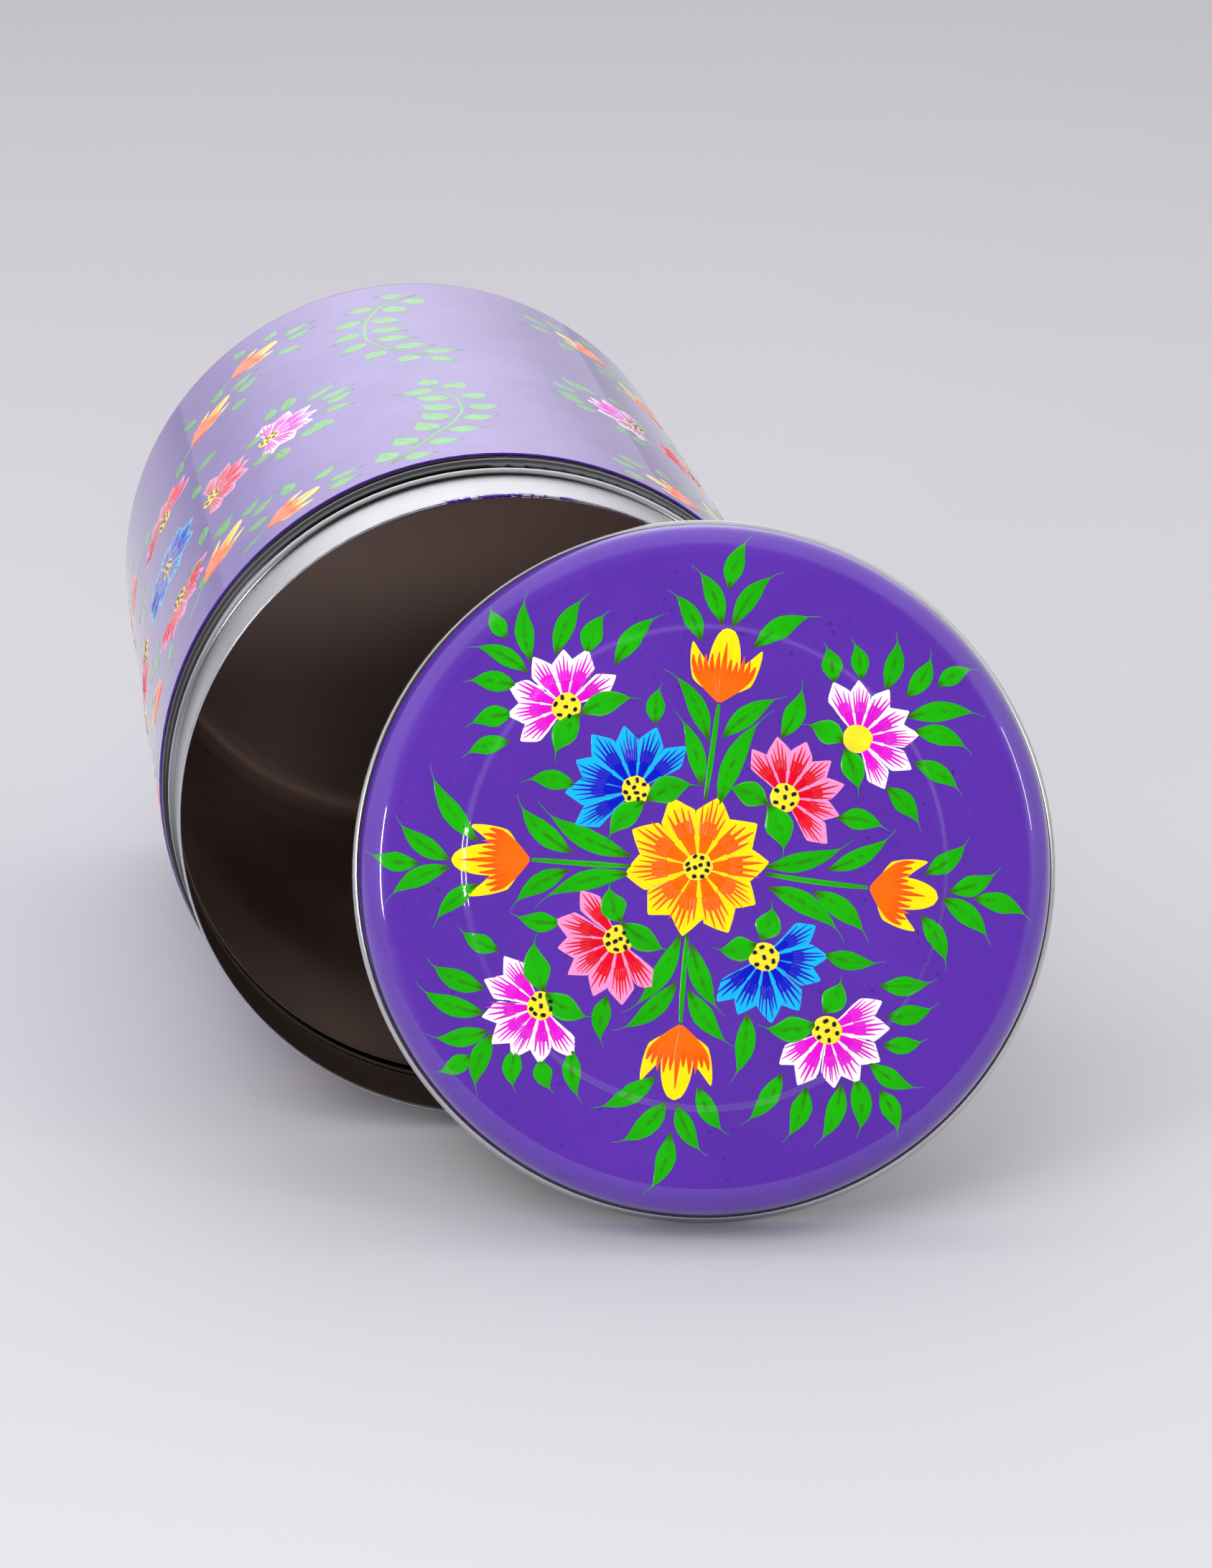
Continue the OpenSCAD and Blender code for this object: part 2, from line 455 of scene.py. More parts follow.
def brushed_paint(graph, body, tip, root, root_reach, rib=0.0):
    """One colour of paint. Its bristle marks follow the stroke, and it may darken at its root or rib."""
    stroke = graph.node("ShaderNodeAttribute", {"attribute_name": "stroke"}, output="Vector")
    along, across, chance = graph.split(stroke)
    bristles = graph.noise(graph.combine(across * 5, along * 1.5, chance * 50), 1, 3, 0.65)
    blots = graph.noise(graph.place(), 700, 2)
    tone = graph.mix(along.step(0.35, 0.95), body, tip)
    tone = graph.mix(chance.step(0.55, 1.0) * 0.3, tone, [0.72 * c for c in body])
    tone = graph.mix(bristles.step(0.52, 0.74) * 0.32, tone, [0.6 * c for c in body])
    tone = graph.mix(bristles.step(0.48, 0.28) * 0.25, tone, [min(1, 1.3 * c) for c in body])
    dark = along.step(root_reach, 0.0)
    if rib:
        line = across.size().step(0.34, 0.02) * along.step(0.75, 0.4) * blots.step(0.38, 0.62)
        dark = dark + line * rib
    tone = graph.mix(dark.at_most(1.0), tone, root)
    normal = graph.bump(bristles + blots * 0.4, 0.10, 0.05 * MM)
    return clear_coat(tone, 0.3 + 0.15 * bristles, normal)


def roll_shade_and_chips(graph, tone, place, y, z):
    """Painted dark reflection on the large roll, painted shade in the grooves and painted shade on the
    lower side of the rolls.

    Chips of lacquer lie at the very top of the lip.
    """
    past_paint = (PAINT_Y - y) / MM
    # Painted dark reflection over the half of the large roll next to the paint
    dark = past_paint.step(4.6, 3.2)
    for middle, depth in GROOVE_SHADES:
        dark = dark + (past_paint - middle).size().step(0.7, 0.2) * depth
    # Painted shade, darker towards the lower side of the rolls
    underside_shade = z.step(BASE.z + 14 * MM, BASE.z - 20 * MM)
    dark = dark + past_paint.step(7.0, 5.5) * underside_shade * 0.6
    # Dark steel colour for the painted shade and the painted reflection
    tone = graph.mix(dark.at_most(1.0) * 0.93, tone, linear(20, 24, 26))
    lip = y.step(LIP_Y + 1.3 * MM, LIP_Y + 0.5 * MM)
    top = z.step(BASE.z + 50.5 * MM, BASE.z + 51.6 * MM)
    chips = lip * top * graph.noise(place, 420, 3, 0.7).step(0.47, 0.51)
    return graph.mix(chips, tone, tuple(bpy.context.scene.caddy_colours.lacquer))


def no_marks(graph, tone, place, y, z):
    """The plain steel of a shell that has no rolls."""
    return tone


def drawn_steel(graph, steel, inside, hollow, marks):
    """Bright steel outside, with marks on it, and dull steel inside with painted shade. hollow gives 1
    on the inside.
    """
    place = graph.place()
    x, y, z = graph.split(place)
    inner = hollow(graph, x, y, z)
    rings = graph.noise(graph.combine(x * 30, y * 3500, z * 30), 1, 3, 0.7)
    smears = graph.noise(place, 90, 4, 0.6)
    tone = graph.mix(smears.step(0.35, 0.7) * 0.16, steel, [0.6 * c for c in steel])
    tone = graph.mix(rings.step(0.45, 0.75) * 0.22, tone, [0.5 * c for c in steel])
    tone = marks(graph, tone, place, y, z)
    # Painted shade inside: soft clouds of tone, plus the lower inside painted darker towards the bottom
    clouds = graph.noise(place, 16, 1).step(0.3, 0.7) * 0.35 + z.step(58 * MM, 26 * MM) * 0.65
    dull = graph.mix(clouds, inside, [0.16 * c for c in inside])
    # Painted shade on the lower inside near the mouth
    shade_near_mouth = y.step(PAINT_Y + 6 * MM, LIP_Y + 8 * MM) * z.step(BASE.z + 20 * MM, BASE.z - 10 * MM)
    dull = graph.mix(shade_near_mouth * 0.8, dull, [0.04 * c for c in inside])
    return {
        "Base Color": graph.mix(inner, tone, dull),
        "Metallic": 1.0 - 0.35 * inner,
        "Roughness": 0.14 + 0.08 * smears + 0.08 * rings + 0.16 * inner,
        "Normal": graph.bump(rings, 0.05, 0.04 * MM),
    }


def canister_hollow(graph, x, y, z):
    """1 inside the canister: nearer to its axis than the middle of its sheet. The lip stays bright."""
    distance = ((x - BASE.x) ** 2 + (z - BASE.z) ** 2) ** 0.5
    radius = reach("canister_shell", BASE, CADDY_AXIS)
    neck = radius - NECK_SHEET_IN
    behind_rolls = y.step(PAINT_Y - 0.5 * MM, PAINT_Y + 0.5 * MM)
    edge = neck + behind_rolls * (radius - WALL_SHEET_IN - neck)
    behind_lip = y.step(LIP_Y + 0.3 * MM, LIP_Y + 0.7 * MM)
    return (edge - distance).step(-0.05 * MM, 0.15 * MM) * behind_lip


def lid_hollow(graph, x, y, z):
    """1 inside the lid: nearer to its axis than the middle of its skirt."""
    offset = graph.vector("SUBTRACT", graph.combine(x, y, z), tuple(LID_FACE))
    depth = graph.vector("DOT_PRODUCT", offset, tuple(-LID_NORMAL), output="Value")
    length = graph.vector("LENGTH", offset, (0, 0, 0), output="Value")
    distance = (length * length - depth * depth).at_least(0.0) ** 0.5
    bore = LID_RADIUS - LID_SHEET_IN
    return (bore - distance).step(-0.05 * MM, 0.15 * MM)


def table_top(graph, tone):
    """A matt pale table with a faint grain."""
    place = graph.place()
    weave = graph.noise(place, 900, 2)
    cloud = graph.noise(place, 6, 3)
    shade = graph.mix(cloud.step(0.3, 0.7) * 0.35, tone, [0.96 * c for c in tone])
    return {
        "Base Color": shade,
        "Roughness": 0.85,
        "Specular IOR Level": 0.15,
        "Normal": graph.bump(weave, 0.15, 0.2 * MM),
    }


def paint_material(name):
    """The paint called name, made once and shared by the lid and the canister."""
    if name in bpy.data.materials:
        return bpy.data.materials[name]
    tones = bpy.context.scene.caddy_colours
    body = tuple(getattr(tones, name))
    tip = [min(1, 1.05 * c) for c in body]
    root = [0.7 * c for c in body]
    reach_of_root = 0.001
    rib = 0.0
    if name == "leaf":
        tip = [0.8 * c for c in body]
        root = tuple(tones.leaf_root)
        reach_of_root = 0.2
        rib = 0.6
    if name == "orange":
        tip = linear(244, 80, 8)
    if name == "blue":
        tip = linear(8, 30, 190)
    return finish_material(name, brushed_paint, body=body, tip=tip, root=root,
                           root_reach=reach_of_root, rib=rib)


# ---------------------------------------------------------------------------------------------------
# Brush strokes
# ---------------------------------------------------------------------------------------------------

class Ground:
    """A lacquered surface that takes paint. Flat places on it are complex numbers, in metres."""

    def __init__(self, node):
        mesh = frame["nodes"][node].data
        self.tree = BVHTree.FromPolygons(
            [v.co for v in mesh.vertices], [tuple(p.vertices) for p in mesh.polygons])

    def seat(self, flat):
        """The point of the surface under a flat place, and the direction away from it.

        Each ground's above() says from where to look for it, and which way.
        """
        start, way = self.above(flat)
        point, normal, _, _ = self.tree.ray_cast(start, way)
        if point is None:
            raise RuntimeError(f"paint at {flat} misses the lacquer")
        return point, normal if normal.dot(way) < 0 else -normal


class LidGround(Ground):
    """The lid's face: right is real, up is imaginary, and the middle of the face is 0."""

    body = "lid"

    def __init__(self):
        super().__init__("lid_lacquer")

    def above(self, flat):
        start = LID_FACE + LID_RIGHT * flat.real + LID_UP * flat.imag + LID_NORMAL * LID_RADIUS
        return start, -LID_NORMAL


class CanisterGround(Ground):
    """The canister's wall unrolled: round it from the top is real, and away from the lip imaginary."""

    body = "canister"

    def __init__(self):
        super().__init__("canister_lacquer")

    def holds(self, flat):
        """Whether a flat place is on the straight painted wall."""
        return PAINT_Y - LIP_Y + 1.5 * MM < flat.imag < BASE.y - LIP_Y - 7 * MM

    def above(self, flat):
        turn = flat.real / BODY_RADIUS
        out = Vector((math.sin(turn), 0, math.cos(turn)))
        return MOUTH + CADDY_AXIS * flat.imag + out * 2 * BODY_RADIUS, -out


class Paint:
    """All strokes of one colour on one ground, which become one mesh."""

    def __init__(self, ground, name, settings):
        self.ground = ground
        self.name = name
        self.settings = settings
        self.points = []
        self.faces = []
        self.marks = []

    def stroke(self, spine, half_widths, layer, chance):
        """Lays a ribbon along a spine: fuller in the middle, with its rim let into the ground."""
        widest = max(half_widths)
        columns = 3 + 2 * max(0, round(widest / self.settings.grain - 0.6))
        across = [-1.0, *np.linspace(-0.82, 0.82, columns), 1.0]
        way = np.gradient(spine)
        left = 1j * way / np.abs(way)
        first = len(self.points)
        rows = len(spine)
        for i in range(rows):
            end = i in (0, rows - 1)
            for a in across:
                rim = end or abs(a) == 1.0
                point, out = self.ground.seat(complex(spine[i] + left[i] * half_widths[i] * a))
                lift = -0.4 if rim else layer + 0.35 * (1 - a * a)
                self.points.append(point + out * lift * self.settings.film)
                self.marks.append((i / (rows - 1), a, chance))
        wide = len(across)
        for i in range(rows - 1):
            for j in range(wide - 1):
                a = first + i * wide + j
                self.faces.append((a, a + wide, a + wide + 1, a + 1))

    def make(self):
        """Makes the strokes into a piece that rides on the ground's body."""
        name = f"{self.ground.body}_{self.name}_paint"
        mesh = bpy.data.meshes.new(name)
        mesh.from_pydata(self.points, [], self.faces)
        mesh.shade_smooth()
        marks = mesh.attributes.new("stroke", "FLOAT_VECTOR", "POINT")
        marks.data.foreach_set("vector", np.array(self.marks, np.float32).ravel())
        mesh.materials.append(paint_material(self.name))
        piece = bpy.data.objects.new(name, mesh)
        bpy.context.scene.collection.objects.link(piece)
        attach(piece, self.ground.body)


class Palette(dict):
    """Paints of one ground by colour name, each made when it is first used."""

    def __init__(self, ground):
        super().__init__()
        self.ground = ground
        self.settings = bpy.context.scene.caddy_paint

    def __missing__(self, name):
        self[name] = Paint(self.ground, name, self.settings)
        return self[name]

    def make(self):
        if not self:
            raise RuntimeError("no paint was laid")
        for paint in self.values():
            paint.make()


def bearing(degrees):
    """A flat direction, anticlockwise from the real axis."""
    return complex(math.cos(math.radians(degrees)), math.sin(math.radians(degrees)))


def curve(points, grain):
    """Even points along a Bezier curve through its ends."""
    points = np.array(points)
    length = np.abs(np.diff(points)).sum()
    t = np.linspace(0, 1, max(7, int(length / grain) + 1))
    degree = len(points) - 1
    weights = [math.comb(degree, k) * (1 - t) ** (degree - k) * t ** k for k in range(degree + 1)]
    return sum(w * p for w, p in zip(weights, points)), t


def through(points, grain):
    """Even points along a smooth line near every point given, which are in millimetres.

    The straight line through the points is cut finely, and each cut is averaged with its neighbours.
    """
    cuts, neighbours = 200, 20
    points = np.array([complex(*p) * MM for p in points])
    reach_of = np.concatenate([[0], np.cumsum(np.abs(np.diff(points)))])
    fine = np.linspace(0, reach_of[-1], cuts)
    line = np.interp(fine, reach_of, points.real) + 1j * np.interp(fine, reach_of, points.imag)
    kernel = np.hanning(2 * neighbours + 1)
    kernel /= kernel.sum()
    before = 2 * line[0] - line[neighbours:0:-1]
    after = 2 * line[-1] - line[-2:-2 - neighbours:-1]
    smooth = np.convolve(np.concatenate([before, line, after]), kernel, "valid")
    t = np.linspace(0, 1, max(7, int(reach_of[-1] / grain) + 1))
    along = np.linspace(0, 1, len(smooth))
    return np.interp(t, along, smooth.real) + 1j * np.interp(t, along, smooth.imag), t


def wobble(rng, t, amount):
    """A hand's unsteadiness along a stroke, about 1."""
    turn, pace = rng.uniform(0, 2 * math.pi), rng.uniform(8, 14)
    return 1 + amount * np.sin(turn + pace * t) * (0.5 + 0.5 * np.sin(3 * turn + 2.3 * pace * t))


def leaf(paint, root, tip, width, side, rng, layer=FIRST_LAYER, hook=1.0):
    """A leaf with a thin dark root, a full belly and a thin tail that hooks to one side."""
    way = tip - root
    across = 1j * way * side * hook * rng.uniform(0.7, 1.2)
    spine, t = curve([root, root + 0.3 * way - 0.10 * across, root + 0.75 * way - 0.16 * across, tip],
                     paint.settings.grain)
    belly = np.sin(math.pi * np.clip((t - 0.03) / 0.77, 0, 1) ** 0.92) ** 1.2
    half = 0.5 * width * (belly + 0.13 * (1 - t)) * wobble(rng, t, 0.06)
    paint.stroke(spine, half + 0.03 * MM, layer, rng.random())


def petal(paint, centre, facing, length, half_angle, rng, layer):
    """A broad petal that widens from the disc and closes in a blunt point."""
    lean = rng.uniform(-0.06, 0.06)
    way = length * bearing(facing)
    spine, t = curve([centre, centre + 0.5 * way, centre + way * (1 + 1j * lean)], paint.settings.grain)
    shoulder = rng.uniform(0.70, 0.75)
    widening = np.tan(math.radians(half_angle)) * length * np.minimum(t, shoulder)
    closing = 1 - np.clip((t - shoulder) / (1 - shoulder), 0, 1) ** 1.12
    half = widening * closing * wobble(rng, t, 0.05) * 1.1
    paint.stroke(spine, half + 0.04 * MM, layer, rng.random() * 0.5)


def petal_streaks(paint, centre, facing, length, half_angle, rng, layer):
    """A solid heart round the disc that parts into pointed streaks towards the petal's tip."""
    chance = rng.random()
    lean = rng.uniform(-0.14, 0.02)
    fill = 0.84 * half_angle
    heart = length * bearing(facing + lean * half_angle)
    spine, t = curve([centre + 0.1 * heart, centre + 0.36 * heart, centre + 0.66 * heart],
                     paint.settings.grain)
    full = np.tan(math.radians(fill)) * np.abs(spine - centre)
    paint.stroke(spine, full * (1 - 0.5 * t ** 4) + 0.03 * MM, layer, chance)
    count = paint.settings.streaks + rng.choice((-1, 0, 0, 1))
    pitch = 2 * fill / count
    for i in range(count):
        place = (2 * i + 1 - count) / count
        middle = 1 - abs(place)
        way = bearing(facing + lean * half_angle + fill * place) * length
        end = min(0.97, rng.uniform(0.74, 0.84) + 0.16 * middle)
        bend = 1 + 1j * rng.uniform(-0.03, 0.03)
        spine, t = curve([centre + 0.4 * way, centre + 0.7 * end * way, centre + end * way * bend],
                         paint.settings.grain)
        full = np.tan(math.radians(0.56 * pitch)) * np.abs(spine - centre)
        taper = 1 - np.clip((t - 0.2) / 0.8, 0, 1) ** rng.uniform(0.85, 1.15)
        paint.stroke(spine, full * taper + 0.02 * MM, layer + 0.1 + 0.1 * middle, chance)


def dab(paint, centre, along, width, layer, chance):
    """A round or oval touch of paint, whose long way is the flat vector along."""
    spine, t = curve([centre - 0.5 * along, centre + 0.5 * along], paint.settings.grain * 0.6)
    half = 0.5 * width * np.sqrt(np.clip(1 - (2 * t - 1) ** 2, 0, 1))
    paint.stroke(spine, half + 0.01 * MM, layer, chance)


def disc(palette, centre, size, dots, rng):
    """A flower's yellow middle, with one or two black dots at its centre and the rest round them."""
    turn = bearing(rng.uniform(0, 360))
    dab(palette["disc"], centre, turn * size * rng.uniform(0.98, 1.08), size, DISC_LAYER,
        rng.random() * 0.5)
    inner = 1 if dots < 9 else 2
    for i in range(dots):
        ring = i >= inner
        share = (i - inner) / max(1, dots - inner)
        far = size * (rng.uniform(0.31, 0.36) if ring else 0.1 * (inner - 1))
        place = centre + far * turn * bearing(360 * (share if ring else i / inner) + rng.uniform(-9, 9))
        lie = bearing(rng.uniform(0, 180)) * size * rng.uniform(0.19, 0.26)
        dab(palette["dot"], place, lie, size * rng.uniform(0.13, 0.17), DOT_LAYER, rng.random() * 0.5)


def flower(palette, centre, facing, petals, step, length, petal_tone, streak_tone, dots, rng):
    """A fan of petals with streaks, round a disc."""
    for i in range(petals):
        way = facing + (i - (petals - 1) / 2) * step + rng.uniform(-2, 2)
        long = length * rng.uniform(0.94, 1.04)
        odd = i % 2
        petal(palette[petal_tone], centre, way, long, step / 2, rng, FIRST_LAYER + 0.25 * odd)
        petal_streaks(palette[streak_tone], centre, way, long, step / 2, rng, STREAK_LAYER + 0.15 * odd)
    disc(palette, centre, palette.settings.disc_size, dots, rng)


def tulip(palette, base, tip, width, rng):
    """Three yellow lobes, the outer ones pointing outwards, under a fan of orange streaks."""
    way = tip - base
    out = -1j * way / abs(way) * width / 2
    yellow = palette["yellow"]
    for side in (-1, 1):
        top = base + rng.uniform(0.74, 0.82) * way + side * rng.uniform(0.92, 1.0) * out
        points = [base + 0.12 * way, base + 0.3 * way + 0.66 * side * out, top]
        spine, t = curve(points, yellow.settings.grain)
        half = 0.2 * width * np.minimum(1.6 * t, 1.5 * (1 - t)).clip(0, 1) ** 0.8
        yellow.stroke(spine, half + 0.03 * MM, FIRST_LAYER, rng.random() * 0.4)
    spine, t = curve([base + 0.1 * way, base + 0.5 * way, tip], yellow.settings.grain)
    crown = np.clip(t / 0.45, 0, 1) * np.sqrt(1 - np.clip((t - 0.5) / 0.5, 0, 1) ** 1.9)
    yellow.stroke(spine, 0.225 * width * crown + 0.03 * MM, FIRST_LAYER + 0.4, rng.random() * 0.4)
    cup(palette["orange"], base, way, out, rng)


def cup(paint, base, way, out, rng):
    """The orange of a tulip: streaks that fan out from its base side by side and end in points."""
    chance = rng.random() * 0.5
    count = 11
    for i in range(count):
        place = (2 * i + 1 - count) / count
        top = rng.uniform(0.6, 0.72) - 0.08 * abs(place) + (0.22 if i == count // 2 else 0)
        height = np.linspace(0.01, top, max(9, int(abs(way) * top / paint.settings.grain)))
        spread = np.sin(0.5 * math.pi * np.clip(height / 0.6, 0, 1)) ** 0.95
        spine = base + way * height + 0.96 * out * place * spread
        taper = 1 - np.clip((height - 0.36) / (top - 0.36), 0, 1) ** 1.1
        half = 1.35 * abs(out) / count * spread * taper
        paint.stroke(spine, half + 0.02 * MM, CUP_LAYER + 0.08 * (i % 3), chance)


def stem(paint, start, end, width, rng):
    """A thin stem that is a little fuller in the middle."""
    middle = (start + end) / 2 + 1j * (end - start) * rng.uniform(-0.03, 0.03)
    spine, t = curve([start, middle, end], paint.settings.grain)
    half = 0.5 * width * (0.6 + 0.4 * np.sin(math.pi * t)) * wobble(rng, t, 0.12)
    paint.stroke(spine, half, STEM_LAYER, chance=0.3)


def leaf_group(paint, facing, leaves, scale, width, rng, layer=FIRST_LAYER):
    """Leaves given as root and tip. Each tail hooks away from the way that the group faces."""
    axis = bearing(facing)
    for root_x, root_y, tip_x, tip_y in leaves:
        root, tip = complex(root_x, root_y) * scale, complex(tip_x, tip_y) * scale
        away = ((tip - root) * axis.conjugate()).imag
        side = 1 if away >= 0 else -1
        leaf(paint, root, tip, width * rng.uniform(0.9, 1.1), side, rng, layer)


def spray(paint, centre, facing, spread, count, near, far, width, rng):
    """Leaves that spread from a flower like rays, over an angle that is centred on its facing."""
    for i in range(count):
        turn = facing + spread * (i / (count - 1) - 0.5) + rng.uniform(-4, 4)
        root = centre + near * bearing(turn)
        tip = centre + far * rng.uniform(0.92, 1.08) * bearing(turn + 9 * math.sin(2 * i))
        if paint.ground.holds(root) and paint.ground.holds(tip):
            leaf(paint, root, tip, width * rng.uniform(0.85, 1.1), 1 if turn > facing else -1, rng)


def fern(paint, points, offset, leaflets, rng):
    """A curved stem with a row of narrow leaflets on each side and one at its end."""
    line, t = through(points, paint.settings.grain)
    line = line + offset
    paint.stroke(line, 0.4 * MM * (1.2 - 0.6 * t), STEM_LAYER, chance=0.3)
    way = np.gradient(line)
    way /= np.abs(way)
    for i in range(leaflets):
        k = int((0.06 + 0.88 * i / (leaflets - 1)) * (len(line) - 1))
        size = math.sin(math.pi * (0.25 + 0.55 * i / leaflets)) ** 0.5
        for side in (-1, 1):
            long = (LEFT_LEAFLET if side > 0 else RIGHT_LEAFLET) * size
            root = line[k] + 0.7 * MM * side * 1j * way[k]
            tip = root + long * way[k] * bearing(side * rng.uniform(50, 62))
            leaf(paint, root, tip, LEAFLET_WIDTH, -side, rng, hook=0.4)
    leaf(paint, line[-1], line[-1] + END_LEAFLET * way[-1], END_LEAFLET_WIDTH, 1, rng, hook=0.4)


# ---------------------------------------------------------------------------------------------------
# Operators
# ---------------------------------------------------------------------------------------------------

def coat(node, material):
    """Gives one of the frame's own pieces a better finish."""
    piece = frame["nodes"][node]
    if not piece.material_slots:
        piece.data.materials.append(material)
    for slot in piece.material_slots:
        slot.material = material


class CADDY_OT_steel(bpy.types.Operator):
    """Gives the canister's and the lid's shells their brushed steel"""

    bl_idname = "caddy.steel"
    bl_label = "Brushed steel"

    def execute(self, context):
        tones = context.scene.caddy_colours
        steel, inside = tuple(tones.steel), tuple(tones.inside)
        coat("canister_shell", finish_material(
            "canister_steel_finish", drawn_steel, steel=steel, inside=inside,
            hollow=canister_hollow, marks=roll_shade_and_chips))
        coat("lid_shell", finish_material(
            "lid_steel_finish", drawn_steel, steel=steel, inside=inside,
            hollow=lid_hollow, marks=no_marks))
        return {"FINISHED"}


class CADDY_OT_lacquer(bpy.types.Operator):
    """Gives the canister and the lid their purple ground under clear lacquer"""

    bl_idname = "caddy.lacquer"
    bl_label = "Purple lacquer"

    def execute(self, context):
        tones = context.scene.caddy_colours
        finish = finish_material("purple_lacquer", lacquered_ground,
                                 ground=tuple(tones.lacquer), shade=tuple(tones.lacquer_shade))
        coat("canister_lacquer", finish)
        coat("lid_lacquer", finish)
        return {"FINISHED"}


class CADDY_OT_lid_flowers(bpy.types.Operator):
    """Paints the lid's flowers and tulips"""

    bl_idname = "caddy.lid_flowers"
    bl_label = "Lid flowers"

    def execute(self, context):
        rng = random.Random(LID_FLOWERS_SEED)
        palette = Palette(LidGround())
        hundredth = LID_RADIUS / 100
        for x, y, facing, petals, step, length, petal_tone, streak_tone, dots in LID_FLOWERS:
            flower(palette, complex(x, y) * hundredth, facing, petals, step, length * hundredth,
                   petal_tone, streak_tone, dots, rng)
        for _, _, base_x, base_y, tip_x, tip_y in LID_TULIPS:
            tulip(palette, complex(base_x, base_y) * hundredth, complex(tip_x, tip_y) * hundredth,
                  palette.settings.tulip_width, rng)
        palette.make()
        return {"FINISHED"}


class CADDY_OT_lid_leaves(bpy.types.Operator):
    """Paints the lid's leaves and stems"""

    bl_idname = "caddy.lid_leaves"
    bl_label = "Lid leaves"

    def execute(self, context):
        rng = random.Random(LID_LEAVES_SEED)
        palette = Palette(LidGround())
        settings = palette.settings
        hundredth = LID_RADIUS / 100
        for start_x, start_y, end_x, end_y, _, _ in LID_TULIPS:
            stem(palette["leaf"], complex(start_x, start_y) * hundredth,
                 complex(end_x, end_y) * hundredth, STEM_WIDTH, rng)
        for facing, leaves in LID_LEAVES:
            leaf_group(palette["leaf"], facing, leaves, hundredth, settings.leaf_width, rng)
        for facing, leaves in LID_FULL_LEAVES:
            leaf_group(palette["leaf"], facing, leaves, hundredth, settings.full_leaf_width, rng,
                       TOP_LEAF_LAYER)
        palette.make()
        return {"FINISHED"}


def panel_middle(degrees):
    """Flat place of a panel's middle on the unrolled wall."""
    return complex(math.radians(degrees) * BODY_RADIUS, PANEL_FROM_LIP)


class CADDY_OT_canister_flowers(bpy.types.Operator):
    """Paints the flowers and tulips of the canister's panels"""

    bl_idname = "caddy.canister_flowers"
    bl_label = "Canister flowers"

    def execute(self, context):
        rng = random.Random(CANISTER_FLOWERS_SEED)
        palette = Palette(CanisterGround())
        for degrees in PANELS:
            middle = panel_middle(degrees)
            for x, y, facing, petals, step, length, petal_tone, streak_tone, dots in PANEL_FLOWERS:
                flower(palette, middle + complex(x, y) * MM, facing, petals, step, length * MM,
                       petal_tone, streak_tone, dots, rng)
            for base_x, base_y, tip_x, tip_y in PANEL_TULIPS:
                for side in (-1, 1):
                    tulip(palette, middle + complex(side * base_x, base_y) * MM,
                          middle + complex(side * tip_x, tip_y) * MM, PANEL_TULIP_WIDTH, rng)
        palette.make()
        return {"FINISHED"}


class CADDY_OT_canister_leaves(bpy.types.Operator):
    """Paints the canister's leaves and the ferns between its panels"""

    bl_idname = "caddy.canister_leaves"
    bl_label = "Canister leaves"

    def execute(self, context):
        rng = random.Random(CANISTER_LEAVES_SEED)
        palette = Palette(CanisterGround())
        green = palette["leaf"]
        wide = palette.settings.leaf_width
        for degrees in PANELS:
            middle = panel_middle(degrees)
            for x, y, facing, _, _, _, tone, _, _ in PANEL_FLOWERS:
                place = middle + complex(x, y) * MM
                if tone == "white":
                    spray(green, place, facing, spread=170, count=9, near=11 * MM, far=18.5 * MM,
                          width=wide, rng=rng)
                if tone == "pink":
                    spray(green, place, facing, spread=210, count=4, near=11 * MM, far=18 * MM,
                          width=wide, rng=rng)
            for base_x, base_y, tip_x, tip_y in PANEL_TULIPS:
                for side in (-1, 1):
                    base = middle + complex(side * base_x, base_y) * MM
                    tip = middle + complex(side * tip_x, tip_y) * MM
                    facing = math.degrees(math.atan2((tip - base).imag, (tip - base).real))
                    spray(green, base + 0.4 * (tip - base), facing, spread=150, count=5, near=8 * MM,
                          far=14.5 * MM, width=wide, rng=rng)
                    stem(green, base - 0.55 * (tip - base), base, STEM_WIDTH, rng)
        for degrees in FERNS:
            offset = complex(math.radians(degrees) * BODY_RADIUS, 0)
            for points in (NEAR_STEM, FAR_STEM):
                fern(green, points, offset, palette.settings.leaflets, rng)
        palette.make()
        return {"FINISHED"}


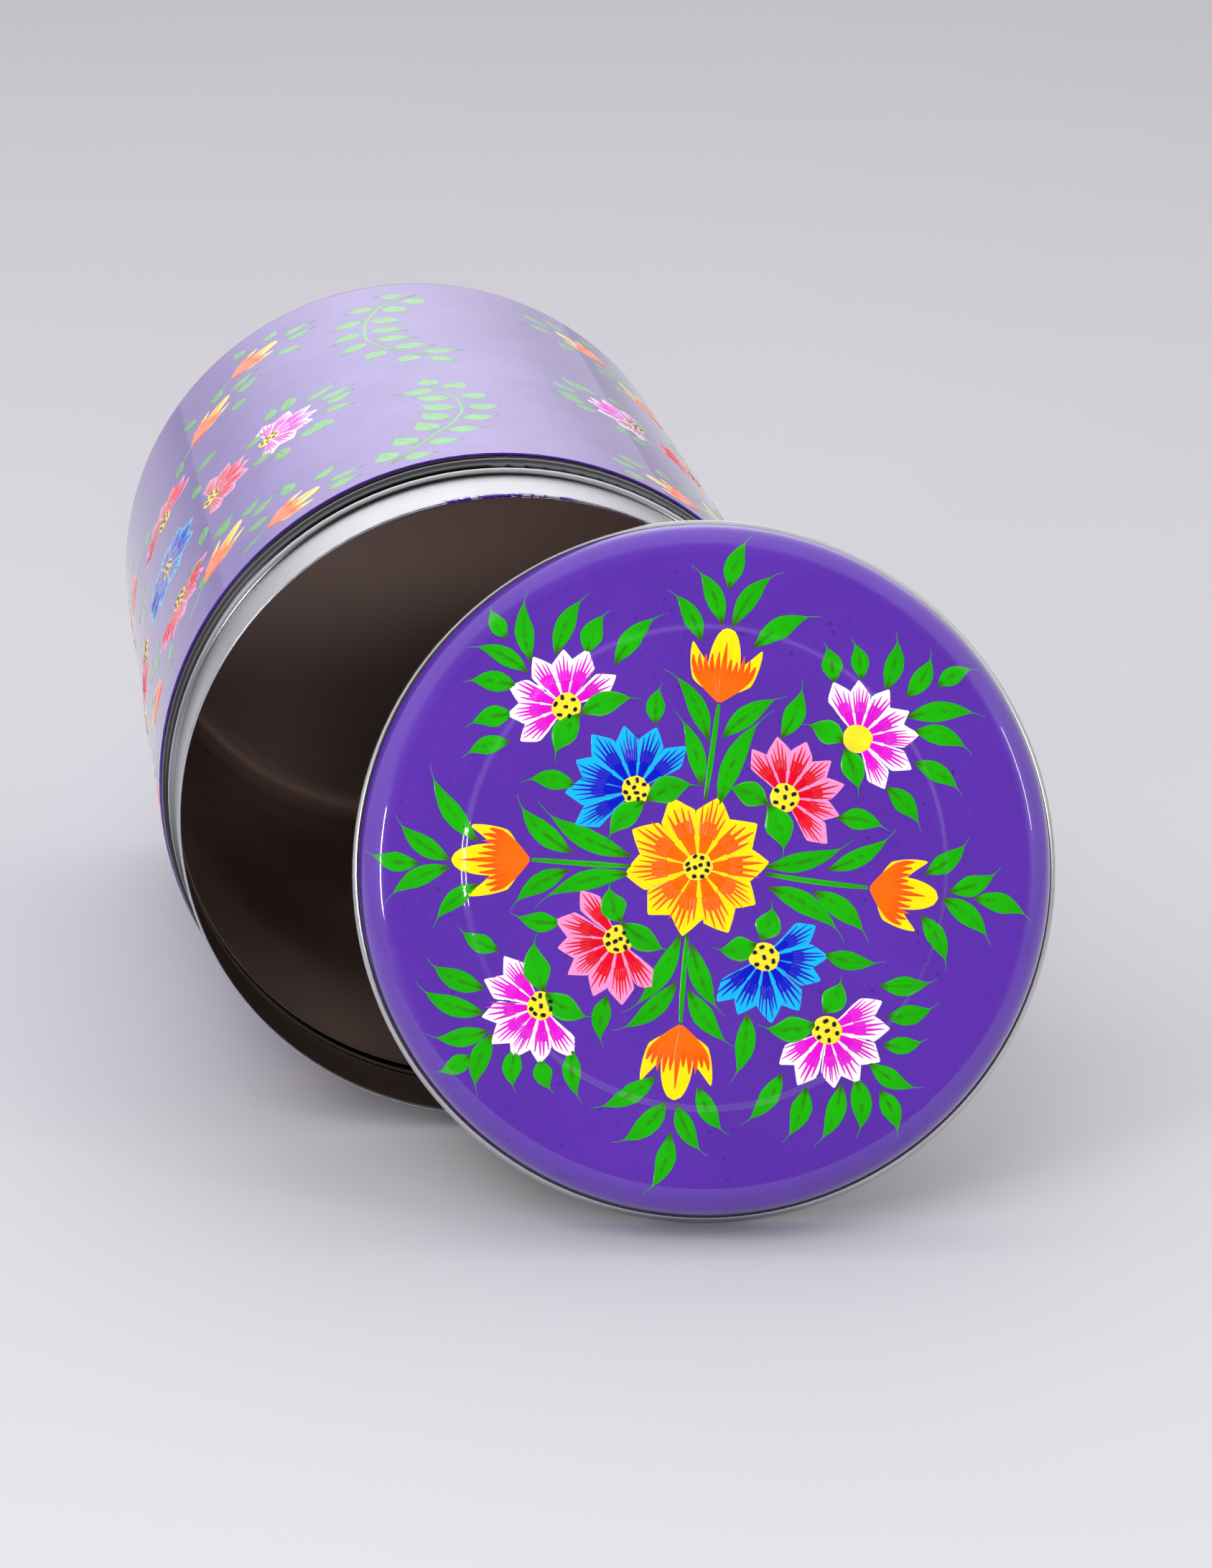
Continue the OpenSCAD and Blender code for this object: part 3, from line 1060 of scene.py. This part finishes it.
class CADDY_OT_stage(bpy.types.Operator):
    """Lays the pale table, lights it softly and sets the camera"""

    bl_idname = "caddy.stage"
    bl_label = "Stage"

    def execute(self, context):
        settings = context.scene.caddy_stage
        self.lay_floor(context, settings)
        self.light_studio(context, settings)
        self.hang_lamps(context)
        self.set_camera(context, settings)
        context.scene.view_settings.view_transform = "Standard"
        return {"FINISHED"}

    def lay_floor(self, context, settings):
        half = settings.floor_size / 2
        mesh = bpy.data.meshes.new("pale_table")
        mesh.from_pydata([(-half, -half, 0), (half, -half, 0), (half, half, 0), (-half, half, 0)], [],
                         [(0, 1, 2, 3)])
        mesh.materials.append(finish_material(
            "pale_table", table_top, tone=tuple(context.scene.caddy_colours.floor)))
        floor = bpy.data.objects.new("pale_table", mesh)
        context.scene.collection.objects.link(floor)

    def light_studio(self, context, settings):
        """A pale studio with a bright backdrop and a dark end."""
        world = bpy.data.worlds.new("pale_studio")
        context.scene.world = world
        graph = Graph(world)
        way = graph.node("ShaderNodeTexCoord", output="Generated")
        _, depth, height = graph.split(way)
        pale = graph.mix(height.step(0.0, 0.6), linear(209, 206, 212), linear(251, 249, 251))
        backdrop = height.step(0.03, 0.3) * depth.step(0.6, 0.95)
        towards = graph.vector("DOT_PRODUCT", way, tuple(DARK_END), output="Value")
        shade = graph.mix(towards.step(0.6, 0.86), pale, linear(52, 44, 42))
        light = graph.node("ShaderNodeBackground", None,
                           {"Color": shade, "Strength": settings.sky_light * (backdrop * 0.9 + 1.0)})
        graph.node("ShaderNodeOutputWorld", None, {"Surface": light})

    def hang_lamps(self, context):
        """Soft lamps that the caddy doesn't mirror, and two narrow ones that it does."""
        for name, place, size, power, mirrored in LAMPS:
            lamp = bpy.data.lights.new(name, "AREA")
            lamp.shape = "RECTANGLE"
            lamp.size, lamp.size_y = size
            lamp.energy = power
            holder = bpy.data.objects.new(name, lamp)
            holder.location = place
            way = LAMPS_AIM - Vector(place)
            holder.rotation_euler = way.to_track_quat("-Z", "Y").to_euler()
            holder.visible_glossy = mirrored
            context.scene.collection.objects.link(holder)

    def set_camera(self, context, settings):
        camera = bpy.data.cameras.new("camera")
        camera.lens = settings.lens
        camera.sensor_width = 36
        camera.clip_start = 0.01
        camera.clip_end = 50
        azimuth, elevation = settings.azimuth, settings.elevation
        out = math.cos(elevation)
        back = Vector((math.sin(azimuth) * out, -math.cos(azimuth) * out, math.sin(elevation)))
        holder = bpy.data.objects.new("camera", camera)
        place = MOUTH + Vector(settings.aim) + back * settings.distance
        turn = (-back).to_track_quat("-Z", "Y").to_matrix().to_4x4()
        holder.matrix_world = Matrix.Translation(place) @ turn
        context.scene.collection.objects.link(holder)
        context.scene.camera = holder


class CADDY_PT_panel(bpy.types.Panel):
    """Lists the caddy's steps and settings"""

    bl_idname = "CADDY_PT_panel"
    bl_label = "Painted tea caddy"
    bl_space_type = "VIEW_3D"
    bl_region_type = "UI"
    bl_category = "Tea Caddy"

    def draw(self, context):
        for step in STEPS:
            self.layout.operator(step.bl_idname)
        for group in (context.scene.caddy_colours, context.scene.caddy_paint, context.scene.caddy_stage):
            box = self.layout.box()
            for name in group.__annotations__:
                box.prop(group, name)


STEPS = (CADDY_OT_stage, CADDY_OT_steel, CADDY_OT_lacquer, CADDY_OT_lid_flowers, CADDY_OT_lid_leaves,
         CADDY_OT_canister_flowers, CADDY_OT_canister_leaves)
CLASSES = (CaddyColours, CaddyPaint, CaddyStage, *STEPS, CADDY_PT_panel)


def register():
    for item in CLASSES:
        bpy.utils.register_class(item)
    bpy.types.Scene.caddy_colours = PointerProperty(type=CaddyColours)
    bpy.types.Scene.caddy_paint = PointerProperty(type=CaddyPaint)
    bpy.types.Scene.caddy_stage = PointerProperty(type=CaddyStage)


def unregister():
    del bpy.types.Scene.caddy_stage
    del bpy.types.Scene.caddy_paint
    del bpy.types.Scene.caddy_colours
    for item in reversed(CLASSES):
        bpy.utils.unregister_class(item)


def main():
    register()
    bpy.ops.caddy.stage()
    bpy.ops.caddy.steel()
    bpy.ops.caddy.lacquer()
    bpy.ops.caddy.lid_flowers()
    bpy.ops.caddy.lid_leaves()
    bpy.ops.caddy.canister_flowers()
    bpy.ops.caddy.canister_leaves()


if __name__ == "__main__":
    main()
